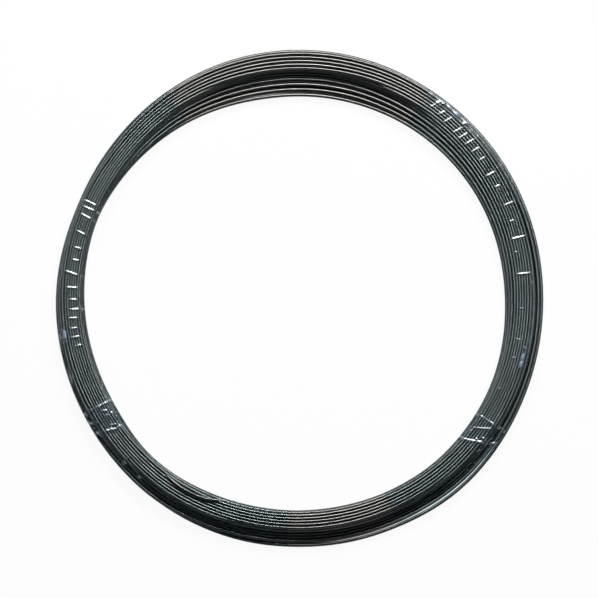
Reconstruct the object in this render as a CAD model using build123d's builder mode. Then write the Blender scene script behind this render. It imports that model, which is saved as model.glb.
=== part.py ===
from build123d import *
import os
from math import ceil, cos, dist, sin, tau

# Coil of music wire, bound with clear film and clear tape.
# It lies flat: +Z is the axis of the coil, and z = 0 is the level that it rests on.
# The origin is the middle of its underside.
# Places round the ring are shares of a full turn, counter-clockwise from +X, seen from above.

# The wire, and the room that its bundle takes where it is widest and where it is tallest
wire_diameter = 2.0
coil_bore_diameter = 225.0
bundle_width = 27.0
bundle_height = 14.5

# How many turns show in a cut through the bundle, and how far the valley between two of them stands
# out from the line of their centres, in wire radii
surface_turns = 17
valley_share = 0.45

# Form of the bundle round the ring: broad and low where it is bare, narrow and tall where film binds
# it tightest. A row gives the place; then the inner and outer edge of the bundle and of the pile of
# turns on top of it, as shares of the width; the height of the pile, as a share of the height; and
# how far the turns beside the pile are spread flat, on the inner and on the outer side
bundle_form_shares = (
    (0.000, 0.09, 0.92, 0.36, 0.65, 0.77, 0.0, 0.0),
    (0.083, 0.07, 0.92, 0.43, 0.74, 0.76, 0.1, 0.0),
    (0.161, 0.02, 0.94, 0.55, 0.87, 0.74, 0.5, 0.0),
    (0.222, 0.00, 1.00, 0.59, 0.92, 0.72, 1.0, 0.0),
    (0.278, 0.00, 1.00, 0.59, 0.91, 0.72, 1.0, 0.0),
    (0.339, 0.12, 0.94, 0.54, 0.85, 0.76, 0.6, 0.0),
    (0.389, 0.22, 0.87, 0.43, 0.72, 0.88, 0.2, 0.0),
    (0.444, 0.33, 0.84, 0.46, 0.71, 1.00, 0.0, 0.0),
    (0.514, 0.29, 0.92, 0.44, 0.73, 0.92, 0.0, 0.0),
    (0.592, 0.25, 0.91, 0.40, 0.70, 0.90, 0.0, 0.0),
    (0.653, 0.28, 1.01, 0.37, 0.70, 0.84, 0.0, 0.5),
    (0.750, 0.22, 1.00, 0.29, 0.62, 0.80, 0.0, 1.0),
    (0.856, 0.23, 1.01, 0.31, 0.63, 0.83, 0.0, 0.8),
    (0.931, 0.20, 0.94, 0.35, 0.66, 0.81, 0.0, 0.2),
)

# The side of the bundle from its edge up to the pile, rounded or spread flat: how far in towards the
# pile, and how far up
rounded_side_shares = ((0.0, 0.40), (0.16, 0.68), (0.52, 0.91), (1.0, 1.0))
spread_side_shares = ((0.0, 0.12), (0.07, 0.30), (0.88, 0.34), (1.0, 1.0))
underside_corner_share = 0.12

# Clear film, wound tightly round the bundle on both sides of the ring
film_thickness = 0.4
film_clearance = 0.3
left_film_start_share = 0.3394
left_film_span_share = 0.4031
right_film_start_share = 0.8153
right_film_span_share = 0.3469

# One strip of clear tape over each length of film, pressed flat underneath, where the coil rests on
# it, by a share of its thickness
tape_width = 19.0
tape_thickness = 0.3
tape_clearance = 0.2
flattened_share = 0.25
left_tape_share = 0.5881
right_tape_share = 0.8986

# How far apart round the ring the sections stand that a piece is shaped through: at most this share,
# and closer in the short tape
section_spacing_share = 0.0155
tape_section_count = 4

# What follows from the sizes above
wire_radius = wire_diameter / 2
bore_radius = coil_bore_diameter / 2
bundle_radius = bore_radius + bundle_width / 2
film_inside = wire_radius + film_clearance
film_outside = film_inside + film_thickness
tape_inside = film_outside + tape_clearance
tape_outside = tape_inside + tape_thickness

# The binding lies flush with the bare turns: it draws the turns in by its own thickness
draw_in_under_film = tape_outside - flattened_share * tape_thickness - wire_radius


def section_plane(place):
    """The upright plane through the coil's axis: local X is the radius, local Y is the height."""
    angle = tau * place
    return Plane((0, 0, 0), x_dir=(cos(angle), sin(angle), 0), z_dir=(sin(angle), -cos(angle), 0))


def form_at(place):
    """The shares of the bundle's form at a place, on a smooth curve through the rows."""
    rows = bundle_form_shares
    count = len(rows)
    index = max(number for number, row in enumerate(rows) if row[0] <= place % 1)
    nearest = [rows[index - 1], rows[index], rows[(index + 1) % count], rows[(index + 2) % count]]
    spans = [(after[0] - before[0]) % 1 for before, after in zip(nearest, nearest[1:])]
    way = (place - nearest[1][0]) % 1 / spans[1]
    form = []
    for before, start, end, after in zip(*[row[1:] for row in nearest]):
        rise = end - start
        leaving = (end - before) * spans[1] / (spans[0] + spans[1]) - rise
        arriving = (after - start) * spans[1] / (spans[1] + spans[2]) - rise
        form.append(start + way * rise + way * (1 - way) * ((1 - way) * leaving - way * arriving))
    return form


def side_profile(spread):
    """The side of the bundle, somewhere between rounded and spread flat."""
    profile = []
    for (way, up), (spread_way, spread_up) in zip(rounded_side_shares, spread_side_shares):
        profile.append((way + spread * (spread_way - way), up + spread * (spread_up - up)))
    return profile


def centre_line(place, draw_in):
    """The line through the centres of the surface turns, counter-clockwise from the underside."""
    inner, outer, pile_inner, pile_outer, height, inner_spread, outer_spread = form_at(place)
    depth = wire_radius + draw_in
    inner, outer = bore_radius + inner * bundle_width + depth, bore_radius + outer * bundle_width - depth
    pile_inner, pile_outer = bore_radius + pile_inner * bundle_width, bore_radius + pile_outer * bundle_width
    low, rise = depth, height * bundle_height - 2 * depth
    corner = underside_corner_share * (outer - inner)
    line = [(outer - corner, low)]
    for way, up in side_profile(outer_spread):
        line.append((outer + way * (pile_outer - outer), low + up * rise))
    for way, up in reversed(side_profile(inner_spread)):
        line.append((inner + way * (pile_inner - inner), low + up * rise))
    line.append((inner + corner, low))
    return line


def outward(start, end):
    """Unit normal on the outer side of a step along a counter-clockwise line."""
    length = dist(start, end)
    return (end[1] - start[1]) / length, (start[0] - end[0]) / length


def moved_out(line, distance):
    """A closed line with each of its straight stretches moved outwards by a distance."""
    moved = []
    for index, (x, z) in enumerate(line):
        before_x, before_z = outward(line[index - 1], (x, z))
        after_x, after_z = outward((x, z), line[(index + 1) % len(line)])
        reach = distance / (1 + before_x * after_x + before_z * after_z)
        moved.append((x + reach * (before_x + after_x), z + reach * (before_z + after_z)))
    return moved


def evenly_spaced(line, count):
    """Points at even steps along a closed line, from its first corner."""
    stretches = list(zip(line, line[1:] + line[:1]))
    step = sum(dist(start, end) for start, end in stretches) / count
    points = []
    passed = 0
    for start, end in stretches:
        length = dist(start, end)
        while len(points) < count and len(points) * step < passed + length:
            way = (len(points) * step - passed) / length
            points.append((start[0] + way * (end[0] - start[0]), start[1] + way * (end[1] - start[1])))
        passed += length
    return points


def draw_turns(place, draw_in):
    """Draw the outline of the bundle: one ridge over each turn on its surface."""
    centres = evenly_spaced(centre_line(place, draw_in), surface_turns)
    outline = []
    for index, (x, z) in enumerate(centres):
        next_x, next_z = centres[(index + 1) % surface_turns]
        normal_x, normal_z = outward(centres[index - 1], (next_x, next_z))
        outline.append((x + wire_radius * normal_x, z + wire_radius * normal_z))
        normal_x, normal_z = outward((x, z), (next_x, next_z))
        valley_x = (x + next_x) / 2 + valley_share * wire_radius * normal_x
        valley_z = (z + next_z) / 2 + valley_share * wire_radius * normal_z
        outline.append((valley_x, valley_z))
    Polyline(*outline, close=True)


def draw_sleeve(place, distance):
    """Draw one face of a sleeve over the turns, at a distance from the line of their centres."""
    Polyline(*moved_out(centre_line(place, draw_in_under_film), distance), close=True)


def sections_between(start, end, least_steps=1):
    """Places at even steps from one end of a stretch of the ring to the other."""
    steps = max(least_steps, ceil((end - start) / section_spacing_share))
    return [start + (end - start) * step / steps for step in range(steps + 1)]


def share_over(length):
    """The share of a full turn that a length takes up along the middle of the bundle."""
    return length / (tau * bundle_radius)


os.makedirs("parts", exist_ok=True)

# The wire, as one solid ring: full size where it is bare, drawn in where film binds it
left_start, left_end = left_film_start_share, left_film_start_share + left_film_span_share
right_start, right_end = right_film_start_share, right_film_start_share + right_film_span_share
coil_stretches = (
    (left_start, left_end, draw_in_under_film),
    (left_end, right_start, 0),
    (right_start, right_end, draw_in_under_film),
    (right_end, left_start + 1, 0),
)
with BuildPart() as wire_coil:
    for start, end, draw_in in coil_stretches:
        for place in sections_between(start, end):
            with BuildSketch(section_plane(place)):
                with BuildLine():
                    draw_turns(place, draw_in)
                make_face()
        loft()
wire_coil.part.label = "wire_coil"
export_step(wire_coil.part, "parts/wire_coil.step")

# The film, as a thin sleeve round the bundle along each of its two stretches
end_gap = share_over(film_clearance)
for side_name, start, end in (("left", left_start, left_end), ("right", right_start, right_end)):
    with BuildPart() as film:
        for distance, mode in ((film_outside, Mode.ADD), (film_inside, Mode.SUBTRACT)):
            for place in sections_between(start + end_gap, end - end_gap):
                with BuildSketch(section_plane(place)):
                    with BuildLine():
                        draw_sleeve(place, distance)
                    make_face()
            loft(mode=mode)
    film.part.label = f"{side_name}_film_wrap"
    export_step(film.part, f"parts/{side_name}_film_wrap.step")

# The tape, as a short sleeve over each stretch of film, flat where it rests
half_strip = share_over(tape_width / 2)
for side_name, place in (("left", left_tape_share), ("right", right_tape_share)):
    strip_places = sections_between(place - half_strip, place + half_strip, tape_section_count)
    with BuildPart() as tape:
        for distance, mode in ((tape_outside, Mode.ADD), (tape_inside, Mode.SUBTRACT)):
            for place in strip_places:
                with BuildSketch(section_plane(place)):
                    with BuildLine():
                        draw_sleeve(place, distance)
                    make_face()
            loft(mode=mode)
        split(bisect_by=Plane.XY, keep=Keep.TOP)
    tape.part.label = f"{side_name}_tape_band"
    export_step(tape.part, f"parts/{side_name}_tape_band.step")
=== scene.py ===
from math import radians

import bpy
import numpy as np
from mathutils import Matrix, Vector


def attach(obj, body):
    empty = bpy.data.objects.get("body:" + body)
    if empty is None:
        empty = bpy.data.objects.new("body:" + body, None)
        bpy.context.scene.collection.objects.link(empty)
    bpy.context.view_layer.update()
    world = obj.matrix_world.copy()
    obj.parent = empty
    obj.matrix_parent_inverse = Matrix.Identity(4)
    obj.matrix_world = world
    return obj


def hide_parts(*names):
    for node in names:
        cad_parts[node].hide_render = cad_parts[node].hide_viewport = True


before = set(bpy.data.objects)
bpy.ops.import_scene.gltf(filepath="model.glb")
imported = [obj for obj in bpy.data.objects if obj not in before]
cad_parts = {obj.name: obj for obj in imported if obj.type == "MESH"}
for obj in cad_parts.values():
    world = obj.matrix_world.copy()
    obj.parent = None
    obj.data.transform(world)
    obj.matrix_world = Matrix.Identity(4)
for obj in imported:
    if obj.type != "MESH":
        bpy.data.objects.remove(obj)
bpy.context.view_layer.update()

# ---- The coil of wire ----
# One strand of hard-drawn spring steel, pulled cold through dies to 2 mm and wound turn on turn into
# a flat ring. The ring spreads where it is bare, and it stands narrow and tall where the film
# squeezes it. Sizes are in millimetres, and bearings in degrees counter-clockwise from +X.
mm = 0.001
wire_radius = 1.0
turns = 44
turns_on_top = 13
places = 144
sides = 12
inner_end_bearing = 252.5

# The room that the bundle takes: the bearing; the inner and outer edge of the bundle, then of the
# pile of turns on top of it; the height of the pile; and how far the turns beside the pile are
# spread flat, on the inner and on the outer side
bundle_form = np.array([
    (0, 114.0, 137.05, 122.2, 130.1, 11.2, 0.0, 0.0),
    (30, 113.7, 137.9, 124.1, 132.5, 11.0, 0.1, 0.0),
    (58, 112.6, 138.4, 127.4, 136.2, 10.7, 0.5, 0.0),
    (80, 112.2, 139.35, 129.0, 137.7, 10.4, 1.0, 0.0),
    (100, 112.2, 139.35, 129.0, 137.6, 10.4, 1.0, 0.0),
    (122, 115.7, 138.0, 127.1, 135.6, 11.0, 0.6, 0.0),
    (140, 118.4, 136.0, 124.1, 131.9, 12.8, 0.2, 0.0),
    (158, 121.0, 134.6, 124.9, 131.5, 14.4, 0.0, 0.0),
    (185, 119.6, 137.0, 124.4, 132.2, 13.3, 0.0, 0.0),
    (210, 118.3, 137.3, 123.3, 131.4, 13.0, 0.0, 0.0),
    (225, 120.6, 139.6, 122.7, 131.4, 12.6, 0.0, 0.3),
    (233, 120.4, 141.4, 122.5, 131.4, 12.3, 0.0, 0.5),
    (252, 118.6, 140.2, 121.0, 130.0, 11.8, 0.0, 0.8),
    (270, 118.4, 139.5, 120.3, 129.2, 11.6, 0.0, 1.0),
    (295, 118.5, 140.0, 120.6, 129.4, 11.9, 0.0, 0.9),
    (309, 118.7, 141.4, 120.9, 129.5, 12.0, 0.0, 0.8),
    (335, 117.5, 138.4, 122.0, 130.3, 11.7, 0.0, 0.2),
])

# Side of the bundle from its edge up to the pile, rounded or spread flat: the share of the way in
# towards the pile, and the share of the way up
rounded_side = np.array([(0.0, 0.40), (0.16, 0.68), (0.52, 0.91), (1.0, 1.0)])
spread_side = np.array([(0.0, 0.10), (0.07, 0.24), (0.88, 0.30), (1.0, 1.0)])
underside_corner = 0.12

# How far the film draws the turns in, and the stretch beyond its ends over which it does so
film_room_below, film_room_above, film_room_beside = 0.45, 0.9, 0.3
lead_in = 5.0


def node_bearings(name):
    """First and last bearing of a CAD node: the furthest of its corners to each side of the bearing
    of their mean."""
    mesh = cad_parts[name].data
    corners = np.empty(3 * len(mesh.vertices))
    mesh.vertices.foreach_get("co", corners)
    x, y, _ = corners.reshape(-1, 3).T
    middle = np.degrees(np.arctan2(y.mean(), x.mean()))
    away = (np.degrees(np.arctan2(y, x)) - middle + 180) % 360 - 180
    start = (middle + away.min()) % 360
    return start, start + away.max() - away.min()


def round_the_ring(values, bearings, at=bundle_form[:, 0], window=9):
    """Values given at a few bearings, carried round the ring: a straight line from each to the next,
    averaged under a bell-shaped window of so many degrees, so that no kink is left."""
    whole_degrees = np.arange(360)
    line = np.interp(whole_degrees, at, values, period=360)
    bell = np.hanning(window + 2)[1:-1]
    reach = window // 2
    ends_joined = np.concatenate([line[-reach:], line, line[:reach]])
    smooth = np.convolve(ends_joined, bell / bell.sum(), "valid")
    return np.interp(bearings, whole_degrees, smooth, period=360)


film_stretches = {name: node_bearings(f"{name}_wrap") for name in ("left_film", "right_film")}
bearing = (inner_end_bearing - 360 / places * np.arange(places)) % 360
inner, outer, pile_inner, pile_outer, height, inner_spread, outer_spread = (
    round_the_ring(column, bearing) for column in bundle_form.T[1:])
degrees_round = np.arange(360)
under_film = sum(((degrees_round - start + lead_in) % 360 < end - start + 2 * lead_in).astype(float)
                 for start, end in film_stretches.values())
under_film = round_the_ring(under_film, bearing, at=degrees_round)

# The room for the middles of the turns: a floor and a roof at even steps across every place. The
# floor is level and turns up at both corners, and the roof climbs both sides to the pile.
steps_across = 160
inner = inner + wire_radius + film_room_beside * under_film
outer = outer - wire_radius - film_room_beside * under_film
lowest = wire_radius + film_room_below * under_film
rise = height - wire_radius - film_room_above * under_film - lowest
across_bundle = np.linspace(0, 1, steps_across + 1)[:, None] * (outer - inner) + inner
floor_line, roof_line = np.empty_like(across_bundle), np.empty_like(across_bundle)
for k in range(places):
    inner_side = rounded_side + inner_spread[k] * (spread_side - rounded_side)
    outer_side = rounded_side + outer_spread[k] * (spread_side - rounded_side)
    roof_x = np.concatenate([inner[k] + inner_side[:, 0] * (pile_inner[k] - inner[k]),
                             (outer[k] + outer_side[:, 0] * (pile_outer[k] - outer[k]))[::-1]])
    roof_z = np.concatenate([inner_side[:, 1], outer_side[::-1, 1]])
    corner = underside_corner * (outer[k] - inner[k])
    floor_x = [inner[k], inner[k] + corner, outer[k] - corner, outer[k]]
    floor_z = [inner_side[0, 1], 0, 0, outer_side[0, 1]]
    roof_line[:, k] = lowest[k] + rise[k] * np.interp(across_bundle[:, k], roof_x, roof_z)
    floor_line[:, k] = lowest[k] + rise[k] * np.interp(across_bundle[:, k], floor_x, floor_z)


def height_at(line, x):
    """Height of the floor or the roof at a radius x: read between the two nearest steps of it."""
    count = np.clip((x - inner) / (outer - inner), 0, 1) * steps_across
    whole = np.minimum(count.astype(int), steps_across - 1)
    column = np.arange(places)
    return line[whole, column] + (count - whole) * (line[whole + 1, column] - line[whole, column])


def read_between(shares, share_line, radius_line):
    """Radius of each turn from its share of the way, read at every place between the two lines."""
    return np.stack([np.interp(shares[:, k], share_line[:, k], radius_line[:, k])
                     for k in range(places)], 1)


# The turns on top lie side by side over the bundle, from its inner edge to its outer one, looser
# beside the pile than on it
crowding_inside, crowding_outside, pile_overlap, pile_sharpness = 0.66, 0.45, 1.5, 8
wound = np.arange(turns)[:, None] + np.arange(places) / places
beside_pile = np.abs(across_bundle[1:] - (pile_inner + pile_outer) / 2)
beside_pile /= (pile_outer - pile_inner) / 2 + pile_overlap
crowding = crowding_inside + (1 - crowding_inside) / (1 + beside_pile ** pile_sharpness)
crowding = np.where(across_bundle[1:] > pile_outer, crowding_outside, crowding)
walked = np.hypot(np.diff(across_bundle, axis=0), np.diff(roof_line, axis=0)) * crowding
along_top = np.concatenate([np.zeros((1, places)), np.cumsum(walked, 0)])
top_x = read_between(wound[:turns_on_top] / turns_on_top, along_top / along_top[-1], across_bundle)

# The other turns fill the room below them from the outer edge back to the inner one, up and down in
# columns, and the strand passes from each turn to the next as it goes round
turns_in_column = 3.6
least_room, top_turn_depth, column_clearance = 0.05, 1.2 * wire_radius, 1.8 * wire_radius
room_below = np.maximum(roof_line - floor_line - top_turn_depth, least_room)[::-1]
area_so_far = np.cumsum(room_below, 0) / room_below.sum(0)
wound_below = wound[turns_on_top:] - turns_on_top
below_x = read_between(wound_below / (turns - turns_on_top), area_so_far, across_bundle[::-1])
up_and_down = np.abs((wound_below / turns_in_column + 1) % 2 - 1)
room_there = height_at(roof_line, below_x) - height_at(floor_line, below_x) - column_clearance
below_z = height_at(floor_line, below_x) + up_and_down * np.maximum(room_there, 0)

# The turns settle: they push each other apart where they overlap, stay within the room, and bend
# evenly along the strand. The turns on top are held to their places and laid almost even. The others
# are let go little by little. Some overlap is left between turns.
rng = np.random.default_rng(7)
rounds, push_share, smoothing_rounds, least_gap = 420, 0.3, 3, 1e-6
held_on_top, held_below = 0.25, 0.03
uneven_on_top, uneven_below = 0.06, 0.25
on_top = np.arange(turns)[:, None] < turns_on_top
held = np.where(on_top, held_on_top, held_below)
unevenness = np.where(on_top, uneven_on_top, uneven_below)
first_x = np.concatenate([top_x, below_x])
first_z = np.concatenate([height_at(roof_line, top_x), below_z])
first_x += rng.normal(0, 1, (turns, 1)) * unevenness
x, z = first_x.copy(), first_z + rng.normal(0, 1, (turns, 1)) * unevenness
for count in range(rounds):
    pull = held * np.where(on_top, 1, 1 - count / rounds)
    x, z = x + pull * (first_x - x), z + pull * (first_z - z)
    apart_x, apart_z = x[:, None] - x[None], z[:, None] - z[None]
    gap = np.hypot(apart_x, apart_z)
    push = push_share * np.clip(2 * wire_radius - gap, 0, None) / np.maximum(gap, least_gap)
    x, z = x + (push * apart_x).sum(1), z + (push * apart_z).sum(1)
    x = np.clip(x, inner, outer)
    z = np.clip(z, height_at(floor_line, x), height_at(roof_line, x))
    for path in (x, z):
        line = path.reshape(-1)
        for smoothing in range(smoothing_rounds):
            line[1:-1] = 0.5 * line[1:-1] + 0.25 * (line[2:] + line[:-2])

# The inner end of the strand lies in a low arch over the first rows: it leaves the inner edge, climbs
# on top of the other turns and comes back. Its reach is in millimetres, and where it goes out and
# back, and up and down, is counted in places from the end.
cross_reach, cross_lift, lift_of_tip = 3.4, 1.5 * wire_radius, 0.4
out_and_back, over_and_down = [0, 4, 5, 11], [0, 3, 6, 12]


def eased(at_places, values):
    """Values from 0 to 1 at a few places from the strand's end, joined by S-shaped steps: three times
    the square of the straight line between them, less twice its cube."""
    line = np.interp(np.arange(places), at_places, values)
    return line ** 2 * (3 - 2 * line)


x[0] += cross_reach * eased(out_and_back, [0, 1, 1, 0])
top_of_arch = height_at(roof_line, x[0][None])[0] + cross_lift
z[0] += eased(over_and_down, [lift_of_tip, 1, 1, 0]) * (top_of_arch - z[0])


def surface(name, grid, rows_joined, uv=None):
    """A mesh on a grid of points, rows by columns by three. Each row is closed on itself. The rows
    are joined in a ring too, or else a flat face closes the first and the last row. The UV goes
    along the rows and round each of them."""
    rows, columns = grid.shape[:2]
    number = np.arange(rows * columns).reshape(rows, columns)
    here, after = (number, np.roll(number, -1, 0)) if rows_joined else (number[:-1], number[1:])
    quads = np.stack([here, np.roll(here, -1, 1), np.roll(after, -1, 1), after], -1).reshape(-1, 4)
    ends = [] if rows_joined else [number[0, ::-1].tolist(), number[-1].tolist()]
    mesh = bpy.data.meshes.new(name)
    mesh.from_pydata(grid.reshape(-1, 3) * mm, [], quads.tolist() + ends)
    smooth = np.ones(len(mesh.polygons), bool)
    smooth[len(quads):] = False
    mesh.polygons.foreach_set("use_smooth", smooth)
    if uv is not None:
        along, around = uv
        u = np.stack([along[:-1], along[:-1], along[1:], along[1:]], -1)[:, None]
        v = np.stack([around[:-1], around[1:], around[1:], around[:-1]], -1)[None]
        whole = (rows - 1, columns, 4)
        pairs = np.zeros((len(mesh.loops), 2))
        pairs[:4 * len(quads)] = np.stack([np.broadcast_to(u, whole), np.broadcast_to(v, whole)],
                                          -1).reshape(-1, 2)
        mesh.uv_layers.new(name="along_strand").data.foreach_set("uv", pairs.ravel())
    piece = bpy.data.objects.new(name, mesh)
    bpy.context.scene.collection.objects.link(piece)
    return piece


def on_ring(radius, height, bearing_degrees):
    """Points from their radius, height and bearing round the coil's axis."""
    angle = np.radians(bearing_degrees)
    return np.stack([radius * np.cos(angle), radius * np.sin(angle), height + 0 * angle], -1)


def tube(line, radius):
    """Rings of points round a line: each stands square to the line, and its first point is on the
    side away from the coil's axis."""
    tangent = np.gradient(line, axis=0)
    tangent /= np.linalg.norm(tangent, axis=1, keepdims=True)
    outwards = line * (1, 1, 0)
    outwards -= (outwards * tangent).sum(1, keepdims=True) * tangent
    outwards /= np.linalg.norm(outwards, axis=1, keepdims=True)
    upwards = np.cross(outwards, tangent)
    angle = np.linspace(0, 2 * np.pi, sides, endpoint=False)[:, None]
    ring = np.cos(angle) * outwards[:, None] + np.sin(angle) * upwards[:, None]
    return line[:, None] + radius * ring


strand = on_ring(x.ravel(), z.ravel(), np.tile(bearing, turns))
steps_along = np.linalg.norm(np.diff(strand, axis=0), axis=1)
length_so_far = np.concatenate([[0], np.cumsum(steps_along)])
wire_turns = surface("wire_turns", tube(strand, wire_radius), False,
                     (length_so_far * mm, np.linspace(0, 1, sides + 1)))


def linear(hex_colour):
    """An sRGB hex colour as the linear red, green, blue and one that a shader takes."""
    parts = np.array([int(hex_colour[i:i + 2], 16) for i in (1, 3, 5)]) / 255
    curve = np.where(parts <= 0.04045, parts / 12.92, ((parts + 0.055) / 1.055) ** 2.4)
    return (*curve, 1.0)


def new_material(name):
    """A material with an empty node tree."""
    material = bpy.data.materials.new(name)
    material.use_nodes = True
    material.node_tree.nodes.clear()
    return material


def add(material, kind, settings=None, **links):
    """Adds one shader node. Settings are its own properties. Links go to its inputs, by name or as
    an underscore and a number: a socket is linked, and a plain value is set."""
    node = material.node_tree.nodes.new(kind)
    for key, value in (settings or {}).items():
        setattr(node, key, value)
    for key, value in links.items():
        numbered = key[0] == "_" and key[1:].isdigit()
        socket = node.inputs[int(key[1:]) if numbered else key.replace("_", " ")]
        if isinstance(value, bpy.types.NodeSocket):
            material.node_tree.links.new(value, socket)
        else:
            socket.default_value = value
    return node


# Drawn spring steel: the die leaves lines along the strand, which spread the light lengthwise and
# keep it a thin bright line across. Where the wire turns from the eye its colour is darkened: painted
# shade, which keeps the flanks from mirroring the bright floor, so the turns stand apart. The lines
# are 60 mm long; real ones are finer than these.
line_length, lines_round_wire = 60 * mm, 14.0
dark_line, light_line = (0.3, "#6c6c69"), (0.7, "#90908c")
smoothest, roughest = 0.34, 0.38
# Painted shade at the wire's edges: the facing over which the colour darkens, and the share of it left
# where it is darkest
edge_shade_from, edge_shade_to, edge_shade_left = 0.15, 0.5, 0.15
steel = new_material("drawn_spring_steel")
place = add(steel, "ShaderNodeUVMap", {"uv_map": "along_strand"}).outputs["UV"]
stretched = add(steel, "ShaderNodeMapping", Vector=place,
                Scale=(1 / line_length, lines_round_wire, 1.0)).outputs["Vector"]
die_lines = add(steel, "ShaderNodeTexNoise", Vector=stretched, Scale=1.0, Detail=3.0).outputs["Fac"]
tone = add(steel, "ShaderNodeValToRGB", Fac=die_lines)
for stop, (position, colour) in zip(tone.color_ramp.elements, (dark_line, light_line)):
    stop.position, stop.color = position, linear(colour)
rough = add(steel, "ShaderNodeMapRange", Value=die_lines,
            To_Min=smoothest, To_Max=roughest).outputs["Result"]
# Painted shade: the steel's colour is darkened where its surface turns from the eye
edge_on = add(steel, "ShaderNodeLayerWeight", Blend=0.5).outputs["Facing"]
painted_edge_shade = add(steel, "ShaderNodeMapRange", Value=edge_on, From_Min=edge_shade_from, From_Max=edge_shade_to,
           To_Min=1.0, To_Max=edge_shade_left).outputs["Result"]
edge_shaded_colour = add(steel, "ShaderNodeVectorMath", {"operation": "SCALE"}, Vector=tone.outputs["Color"],
             Scale=painted_edge_shade).outputs["Vector"]
lengthwise = add(steel, "ShaderNodeTangent",
                 {"direction_type": "UV_MAP", "uv_map": "along_strand"}).outputs["Tangent"]
metal = add(steel, "ShaderNodeBsdfPrincipled", Base_Color=edge_shaded_colour, Metallic=1.0, Roughness=rough,
            Anisotropic=1.0, Tangent=lengthwise)
add(steel, "ShaderNodeOutputMaterial", Surface=metal.outputs["BSDF"])
wire_turns.data.materials.append(steel)
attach(wire_turns, "root")
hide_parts("wire_coil")

# ---- The film ----
# Clear polyethylene stretch film a few hundredths of a millimetre thick, wound by hand in several
# layers round the bundle on both sides of the ring. It clings to itself, and it is drawn here as one
# sheet of their thickness, which creases across and stands off the turns in blisters.
film_wall, film_clearance = 0.1, 0.14
film_radius = 127.0
around_steps, top_density, side_fade = 90, 2.2, 4
hull_directions, ball_radius = 360, 4.0


def between_places(values, at_bearings):
    """Values at the strand's places, read at any bearing by a cubic B-spline round the ring: the
    average of the four nearest places under its bell-shaped weights."""
    where = ((inner_end_bearing - at_bearings) % 360) * places / 360
    index = np.floor(where).astype(int)
    t = (where - index).reshape((-1,) + (1,) * (values.ndim - 1))
    weights = ((1 - t) ** 3, 3 * t ** 3 - 6 * t ** 2 + 4, -3 * t ** 3 + 3 * t ** 2 + 3 * t + 1, t ** 3)
    return sum(weight * values[(index + shift) % places]
               for shift, weight in zip((-1, 0, 1, 2), weights)) / 6


centre_x, centre_z = (x.min(0) + x.max(0)) / 2, (z.min(0) + z.max(0)) / 2
half_x, half_z = (x.max(0) - x.min(0)) / 2 + wire_radius, (z.max(0) - z.min(0)) / 2 + wire_radius
offset_x, offset_z = (x - centre_x)[:, :, None], (z - centre_z)[:, :, None]


def rays(angles):
    """Unit directions from the middle of each section, at angles on an ellipse as wide and as tall
    as the section is."""
    ray_x, ray_z = half_x[:, None] * np.cos(angles), half_z[:, None] * np.sin(angles)
    length = np.hypot(ray_x, ray_z)
    return ray_x / length, ray_z / length


# A ball that rolls round the bundle traces the film: first the line that its middle follows, where
# it touches the outermost turn in each direction, and then the line that its near side leaves
round_x, round_z = rays(np.linspace(0, 2 * np.pi, hull_directions, endpoint=False))
along_ray = offset_x * round_x + offset_z * round_z
beside_ray = (offset_x * round_z - offset_z * round_x) ** 2
room = (wire_radius + ball_radius) ** 2 - beside_ray
followed = np.where(room > 0, along_ray + np.sqrt(np.maximum(room, 0)), 0).max(0)
ball_x, ball_z = (followed * round_x)[:, None], (followed * round_z)[:, None]


def near_side(angles):
    """Where rays from the middle of each section meet the line that the ball's near side leaves: the
    nearest crossing with any of the balls, averaged a little with its neighbours."""
    ray_x, ray_z = rays(angles)
    along_ray = ball_x * ray_x[..., None] + ball_z * ray_z[..., None]
    room = ball_radius ** 2 - (ball_x * ray_z[..., None] - ball_z * ray_x[..., None]) ** 2
    met = (room > 0) & (along_ray > 0)
    far = np.where(met, along_ray - np.sqrt(np.maximum(room, 0)), np.inf).min(-1)
    far = 0.5 * far + 0.25 * (np.roll(far, 1, 1) + np.roll(far, -1, 1))
    return far * ray_x, far * ray_z


# The sheet's columns stand at even steps along that line, closer together on the upper side. Relief
# is kept to that side, and fades out towards the edges of the bundle.
all_round = np.linspace(0, 2 * np.pi, 2 * around_steps + 1)
line_x, line_z = near_side(all_round[:-1])
pieces = np.hypot(np.roll(line_x, -1, 1) - line_x, np.roll(line_z, -1, 1) - line_z)
pieces *= np.where(np.sin(all_round[:-1]) > 0, top_density, 1)
counted = np.concatenate([np.zeros((places, 1)), np.cumsum(pieces, 1)], 1)
share_round = np.linspace(0, 1, around_steps, endpoint=False)
looking = np.stack([np.interp(counted[k, -1] * share_round, counted[k], all_round)
                    for k in range(places)])
girth = counted[:, -1].mean() / top_density
upper_side = np.clip(side_fade * np.sin(looking), 0, 1)
line_x, line_z = near_side(looking)
hull = np.stack([centre_x[:, None] + line_x, centre_z[:, None] + line_z], -1)


def sleeve(name, at_bearings, offset, wall, relief, loose):
    """A thin closed sleeve round the bundle: the line that the ball traced, moved outwards by an
    offset and a relief, carried along the bearings, and back along its inner wall. Each point keeps
    how loose the sheet is there: 0 where it clings to a turn, 1 where it stands off, and up to 2
    where its colour turns pale for a painted sheen."""
    outline = between_places(hull, at_bearings)
    side = np.roll(outline, -1, 1) - np.roll(outline, 1, 1)
    outwards = np.stack([side[..., 1], -side[..., 0]], -1)
    outwards /= np.linalg.norm(outwards, axis=-1, keepdims=True)
    outside = outline + (offset + wall + relief)[..., None] * outwards
    inside = outline + (offset + relief)[..., None] * outwards
    radius, height = np.concatenate([outside, inside[::-1]])[:, ::-1].transpose(2, 0, 1)
    there_and_back = np.concatenate([at_bearings, at_bearings[::-1]])[:, None] + 0 * radius
    piece = surface(name, on_ring(radius, height, there_and_back), True)
    kept = np.concatenate([loose, loose[::-1]])[:, ::-1]
    piece.data.attributes.new("loose", "FLOAT", "POINT").data.foreach_set("value", kept.ravel())
    return piece


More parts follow.
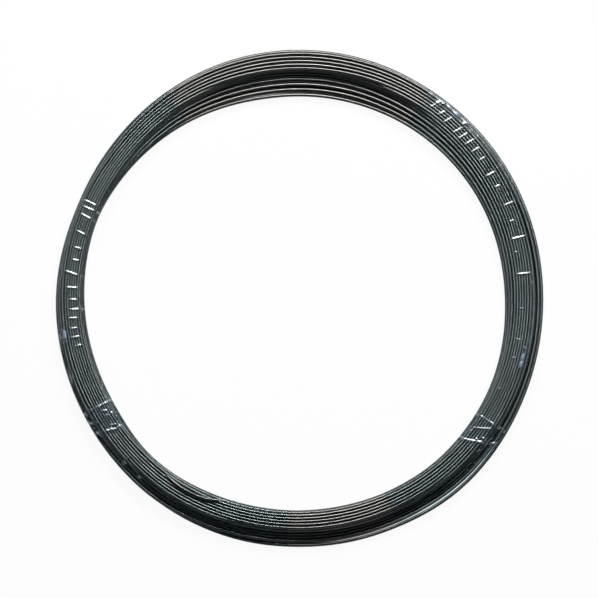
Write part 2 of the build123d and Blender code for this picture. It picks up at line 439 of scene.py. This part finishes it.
# Between which levels of the ripple a patch clears and clouds, the share of haziness at each of
# them, and the share of painted sheen where the sheet is loosest: a pale colour standing in for a
# reflection
clear_level, cloudy_level, clearest, cloudiest, painted_sheen_share = 0.4, 0.7, 0.3, 2.5, 0.7


def clear_sheet(name, tint, cloud_and_sheen_colour, cloud_share, clinging, standing_off, roughness, ripple, depth):
    """Clear plastic sheet: seen through with a faint tint, a little hazy in patches of the ripple's
    size, and glossy by one share where it clings to the turns and by another where it stands off. As
    it gets looser still, from 1 to 2, more and more of it takes the hazy colour, lit like paper: a
    painted sheen."""
    material = new_material(name)
    where = add(material, "ShaderNodeTexCoord").outputs["Object"]
    loose = add(material, "ShaderNodeAttribute", {"attribute_name": "loose"}).outputs["Fac"]
    wrinkles = add(material, "ShaderNodeTexNoise", Vector=where, Scale=1 / ripple,
                   Detail=1.0).outputs["Fac"]
    bent = add(material, "ShaderNodeBump", Height=wrinkles, Distance=depth).outputs["Normal"]
    through = add(material, "ShaderNodeBsdfTransparent", Color=linear(tint)).outputs[0]
    cloud_and_painted_sheen = add(material, "ShaderNodeBsdfDiffuse", Color=linear(cloud_and_sheen_colour)).outputs[0]
    gloss = add(material, "ShaderNodeBsdfGlossy", Color=(1, 1, 1, 1), Roughness=roughness,
                Normal=bent).outputs[0]
    patches = add(material, "ShaderNodeMapRange", Value=wrinkles,
                  From_Min=clear_level, From_Max=cloudy_level,
                  To_Min=clearest * cloud_share, To_Max=cloudiest * cloud_share).outputs["Result"]
    # Painted sheen: where the sheet is looser than 1, its pale diffuse colour stands in for a reflection
    painted_sheen = add(material, "ShaderNodeMapRange", Value=loose, From_Min=1.0, From_Max=2.0,
                To_Min=0.0, To_Max=painted_sheen_share).outputs["Result"]
    cloud_and_painted_sheen_share = add(material, "ShaderNodeMath", {"operation": "MAXIMUM"}, _0=patches, _1=painted_sheen).outputs[0]
    share = add(material, "ShaderNodeMapRange", Value=loose, To_Min=clinging,
                To_Max=standing_off).outputs["Result"]
    body = add(material, "ShaderNodeMixShader", Fac=cloud_and_painted_sheen_share, _1=through, _2=cloud_and_painted_sheen).outputs[0]
    whole = add(material, "ShaderNodeMixShader", Fac=share, _1=body, _2=gloss).outputs[0]
    add(material, "ShaderNodeOutputMaterial", Surface=whole)
    return material


# Stretched polyethylene: almost clear, with a cold tint in several layers. Where it clings, the steel
# under it gives the shine; a crease or a blister throws it back white, and on the loosest puckers a
# pale colour is painted as a sheen. Wrinkles are 6 mm across.
stretch_film = clear_sheet("clear_stretch_film", tint="#f6fafb", cloud_and_sheen_colour="#98b0c4", cloud_share=0.005,
                           clinging=0.0008, standing_off=0.16, roughness=0.3,
                           ripple=6 * mm, depth=0.12 * mm)

# Creases that run across the film: the bearing, the radius from and to, the share of a full crease's
# height, and the slant in degrees, with the inner end at the higher bearing
creases = np.array([
    (6.3, 121.9, 130.3, 0.8, 0.0), (12.0, 122.6, 124.9, 0.7, 0.0), (15.5, 122.6, 131.0, 1.0, 0.1),
    (20.0, 124.9, 128.2, 0.8, 0.0), (24.3, 125.2, 131.9, 0.8, 0.2), (29.5, 125.6, 128.8, 0.9, 0.1),
    (33.0, 124.2, 130.5, 1.0, 0.2), (37.3, 126.0, 131.0, 0.9, 0.2), (40.1, 126.0, 131.6, 0.9, 0.4),
    (42.5, 125.9, 132.6, 1.0, 0.6), (44.8, 124.7, 132.2, 1.0, 0.8), (46.7, 125.9, 132.2, 0.9, 0.9),
    (46.4, 133.3, 137.2, 0.8, 0.6), (50.2, 126.6, 132.6, 0.9, 0.9), (52.5, 128.4, 132.6, 1.0, 0.8),
    (53.6, 132.7, 136.6, 0.8, 0.6), (54.9, 128.8, 136.1, 1.0, 1.3),
    (155.4, 123.8, 132.4, 0.8, 0.0), (156.9, 121.0, 132.2, 0.8, 0.0), (159.0, 122.4, 131.0, 0.9, 0.5),
    (163.3, 123.2, 130.3, 0.9, 0.6), (167.2, 124.0, 129.1, 0.8, 0.1), (170.3, 124.3, 128.8, 0.9, 0.1),
    (173.7, 122.4, 132.2, 1.0, 1.0), (177.3, 123.2, 130.3, 1.0, 0.1), (180.3, 123.8, 128.7, 1.0, 0.0),
    (182.8, 121.0, 129.1, 1.0, 0.0), (185.0, 124.2, 129.4, 1.0, 0.0), (187.6, 124.9, 129.1, 1.0, -0.1),
    (189.8, 124.3, 129.4, 1.0, -0.1), (192.1, 124.3, 128.2, 1.0, -0.2), (223.2, 127.0, 136.8, 0.7, -0.4),
    (228.1, 129.8, 135.6, 0.6, -0.4), (309.7, 133.3, 136.4, 0.8, 0.0), (314.4, 133.8, 136.4, 0.8, 0.0),
    (316.6, 133.6, 136.8, 0.8, 0.2), (335.7, 121.2, 124.3, 0.6, 0.0),
    (344.5, 122.4, 126.1, 0.6, 0.0), (349.4, 122.4, 127.0, 0.6, 0.0), (357.4, 122.8, 126.1, 0.6, 0.0),
])
crease_height, crease_width, crease_looseness = 0.46, 0.7, 1.6

# Blisters, puckered, where the film stands off the turns: the bearing, the radius, half the length in
# degrees, half the width, and how loose the film is. Where the loosest pucker most, a pale colour is
# painted on them as a sheen.
blisters = np.array([
    (52.0, 135.0, 8.0, 2.2, 0.7), (38.0, 135.5, 14.0, 2.2, 0.3), (3.0, 130.0, 6.0, 0.9, 0.6),
    (189.0, 132.5, 2.2, 2.0, 1.0), (199.0, 133.8, 1.2, 1.4, 1.0), (345.0, 129.4, 4.0, 1.7, 1.0),
    (168.0, 133.8, 14.0, 2.2, 0.12), (355.0, 132.2, 9.0, 1.7, 0.25),
])
# Wave and pucker heights, and the gain of the painted sheen: a pale colour on the puckers that stands in
# for their reflection
wave_height, pucker_height, painted_sheen_gain = 0.03, 0.34, 1.9
wave_cell, pucker_cell = (5.0, 5.0), (2.4, 1.6)
base_step, fine_step, fine_reach, samples = 0.6, 0.1, 0.6, 6000


def film_places(start, end, marks):
    """Bearings along a film, close together at each mark and further apart between: the steps are
    counted up along many even samples, and a place is put at each whole count."""
    even, even_step = np.linspace(start, end, samples, retstep=True)
    near = (np.abs((even[:, None] - marks + 180) % 360 - 180) < fine_reach).any(1)
    counted = np.cumsum((1 / base_step + near / fine_step) * even_step)
    return np.interp(np.linspace(counted[0], counted[-1], int(counted[-1])), counted, even)


def on_sheet(at_bearings, start):
    """Where each point of a sheet is on it, in millimetres: along the bundle, as the angle from its
    start times the radius, and round it, as its share of the girth."""
    along = np.radians(at_bearings - start)[:, None] * film_radius + 0 * share_round
    return along, 0 * along + share_round * girth


def soft_noise(at, cell):
    """Smooth random field: a coarse lattice of random heights, read between by a cosine bell."""
    lattice = rng.normal(0, 1, [int(np.max(way) / size) + 3 for way, size in zip(at, cell)])
    r, c = at[0] / cell[0], at[1] / cell[1]
    i, j = np.floor(r).astype(int), np.floor(c).astype(int)
    tr, tc = (1 - np.cos(np.pi * (r - i))) / 2, (1 - np.cos(np.pi * (c - j))) / 2
    return ((lattice[i, j] * (1 - tc) + lattice[i, j + 1] * tc) * (1 - tr)
            + (lattice[i + 1, j] * (1 - tc) + lattice[i + 1, j + 1] * tc) * tr)


def crease_relief(at_bearings, marks):
    """How far creases stand up at each point, as shares of a full crease: a bell-shaped ridge across
    each line, which fades out past the line's ends and keeps to the upper side."""
    radius = between_places(hull, at_bearings)[..., 0, None]
    middle, half = (marks[:, 1] + marks[:, 2]) / 2, (marks[:, 2] - marks[:, 1]) / 2
    way = (middle - radius) / half
    away = (at_bearings[:, None] - marks[:, 0] + 180) % 360 - 180
    away = np.radians(away[:, None] - marks[:, 4] * way / 2) * film_radius
    ridges = marks[:, 3] * np.exp(-(away / crease_width) ** 2 - way ** 4)
    return ridges.sum(-1) * between_places(upper_side, at_bearings)


for name, (start, end) in film_stretches.items():
    at_bearings = film_places(start, end, creases[:, 0])
    ridges = crease_relief(at_bearings, creases)
    along = ((at_bearings[:, None] - blisters[:, 0] + 180) % 360 - 180) / blisters[:, 2]
    beside = (between_places(hull, at_bearings)[..., 0, None] - blisters[:, 1]) / blisters[:, 3]
    blister = (blisters[:, 4] * np.exp(-along[:, None] ** 2 - beside ** 2)).sum(-1)
    at = on_sheet(at_bearings, start)
    waves = wave_height * soft_noise(at, wave_cell)
    puckers = blister * np.abs(soft_noise(at, pucker_cell))
    upper = between_places(upper_side, at_bearings)
    standing_off = np.clip(crease_looseness * ridges + blister, 0, 1)
    # Looseness past 1 on the puckers paints a pale sheen colour on the film
    film = sleeve(name, at_bearings, film_clearance, film_wall,
                  crease_height * ridges + (waves + pucker_height * puckers) * upper,
                  np.maximum(standing_off, painted_sheen_gain * puckers * upper))
    film.data.materials.append(stretch_film)
    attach(film, "root")
    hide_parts(f"{name}_wrap")

# ---- The tape ----
# A strip of 19 mm clear polypropylene tape with acrylic glue, stuck once round each stretch of film
# to hold its end. It is pressed on by hand, so it creases along its edges and traps small bubbles.
tape_wall, glue_line = 0.06, 0.03
tape_step = 0.1

# Creases in the same columns as those of the film. Their height varies along them, so they break up.
tape_creases = np.array([
    (208.35, 118.7, 138.3, 1.0, 0.0), (214.6, 122.1, 137.8, 1.1, 2.9), (210.0, 123.8, 126.6, 1.0, 0.5),
    (211.3, 124.3, 126.6, 0.9, 0.3), (214.2, 123.8, 127.1, 0.9, 0.6), (211.2, 131.0, 137.2, 1.0, 1.5),
    (215.4, 121.5, 124.3, 1.2, 0.2),
    (327.1, 118.2, 138.3, 1.0, 0.0), (323.4, 133.3, 138.3, 1.0, -1.7), (320.7, 119.3, 131.6, 1.2, -3.1),
    (324.5, 119.8, 129.9, 1.0, -2.8), (319.6, 118.7, 122.6, 1.1, -0.6), (322.9, 127.7, 132.2, 1.0, -0.6),
])
break_cell, usual_height, height_swing, least_height, most_height = (30.0, 2.5), 0.8, 0.35, 0.2, 1.3

# Bubbles rise where a random field passes a level
bubble_cell, bubble_level, bubble_most = (1.8, 1.8), 1.1, 1.2
bubble_height, bubble_looseness = 0.25, 1.5

# Polypropylene film with its glue: clearer and stiffer than the film, so its creases shine harder
clear_tape = clear_sheet("clear_adhesive_tape", tint="#f8fbfd", cloud_and_sheen_colour="#b4c4d0", cloud_share=0.004,
                         clinging=0.003, standing_off=0.2, roughness=0.35,
                         ripple=2.5 * mm, depth=0.2 * mm)
for name in ("left_tape", "right_tape"):
    start, end = node_bearings(f"{name}_band")
    at_bearings = np.arange(start, end, tape_step)
    at = on_sheet(at_bearings, start)
    bubbles = np.clip(soft_noise(at, bubble_cell) - bubble_level, 0, bubble_most)
    bubbles *= between_places(upper_side, at_bearings)
    unbroken = np.clip(usual_height + height_swing * soft_noise(at, break_cell),
                       least_height, most_height)
    ridges = crease_relief(at_bearings, tape_creases) * unbroken
    tape = sleeve(name, at_bearings, film_clearance + film_wall + glue_line, tape_wall,
                  crease_height * ridges + bubble_height * bubbles,
                  np.clip(crease_looseness * ridges + bubble_looseness * bubbles, 0, 1))
    tape.data.materials.append(clear_tape)
    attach(tape, "root")
    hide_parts(f"{name}_band")

# ---- The paper sweep ----
# A sheet of matt white paper that the coil lies on. The camera and the gloss of the steel see it
# evenly bright, and what is left of its own shading keeps the coil's soft shadow.
half_floor, paper_glow = 2.0, 0.94
corners = [(-half_floor, -half_floor, 0), (half_floor, -half_floor, 0),
           (half_floor, half_floor, 0), (-half_floor, half_floor, 0)]
floor_mesh = bpy.data.meshes.new("floor")
floor_mesh.from_pydata(corners, [], [(0, 1, 2, 3)])
floor = bpy.data.objects.new("floor", floor_mesh)
bpy.context.scene.collection.objects.link(floor)
paper = new_material("white_paper_sweep")
matt = add(paper, "ShaderNodeBsdfDiffuse", Color=linear("#f4f4f4"))
glow = add(paper, "ShaderNodeEmission", Color=(1, 1, 1, 1), Strength=1.0)
ray = add(paper, "ShaderNodeLightPath").outputs
mirrored = add(paper, "ShaderNodeMath", {"operation": "MAXIMUM"},
               _0=ray["Is Glossy Ray"], _1=ray["Is Transmission Ray"]).outputs[0]
watched = add(paper, "ShaderNodeMath", {"operation": "MAXIMUM"},
              _0=ray["Is Camera Ray"], _1=mirrored).outputs[0]
seen = add(paper, "ShaderNodeMath", {"operation": "MULTIPLY"}, _0=watched, _1=paper_glow).outputs[0]
mixed = add(paper, "ShaderNodeMixShader", Fac=seen, _1=matt.outputs[0], _2=glow.outputs[0])
add(paper, "ShaderNodeOutputMaterial", Surface=mixed.outputs[0])
floor.data.materials.append(paper)

# ---- Lamps and camera ----
# A softbox behind the coil draws the bright line on every turn, two weak ones fill the sides with a
# cooler light, and the room is dark. The camera looks straight down from far above.
room_light = (0.020, 0.026, 0.032, 1)
world = bpy.data.worlds.new("studio")
bpy.context.scene.world = world
world.use_nodes = True
world.node_tree.nodes["Background"].inputs["Color"].default_value = room_light


def softbox(name, azimuth, elevation, distance, size, watts, colour="#ffffff"):
    """A rectangular lamp that points at the coil from an azimuth and an elevation in degrees."""
    lamp = bpy.data.lights.new(name, "AREA")
    lamp.shape = "RECTANGLE"
    (lamp.size, lamp.size_y), lamp.energy = size, watts
    lamp.color = linear(colour)[:3]
    holder = bpy.data.objects.new(name, lamp)
    bpy.context.scene.collection.objects.link(holder)
    a, e = radians(azimuth), radians(elevation)
    direction = Vector((np.cos(a) * np.cos(e), np.sin(a) * np.cos(e), np.sin(e)))
    holder.location = direction * distance
    holder.rotation_euler = direction.to_track_quat("Z", "Y").to_euler()


softbox("key_softbox", azimuth=82, elevation=40, distance=1.3, size=(1.0, 0.4), watts=25)
softbox("left_softbox", azimuth=172, elevation=46, distance=1.6, size=(0.8, 0.3), watts=0.9,
        colour="#f2f4ff")
softbox("right_softbox", azimuth=4, elevation=46, distance=1.6, size=(0.8, 0.3), watts=1.2,
        colour="#d8e4ff")

# The lens makes a pixel as wide as it is in the photograph, at the middle of the bundle's height. The
# ring's middle stands half a pixel above the picture's.
picture_pixels, pixel_size = 598, 0.56 * mm
middle_y = -0.5 * pixel_size
camera_height, sensor_width = 2.505, 36
mid_height = 5 * mm
camera_data = bpy.data.cameras.new("camera")
camera_data.sensor_width = sensor_width
camera_data.lens = sensor_width * (camera_height - mid_height) / (picture_pixels * pixel_size)
camera = bpy.data.objects.new("camera", camera_data)
camera.location = (0, middle_y, camera_height)
bpy.context.scene.collection.objects.link(camera)
bpy.context.scene.camera = camera
bpy.context.scene.view_settings.view_transform = "Standard"
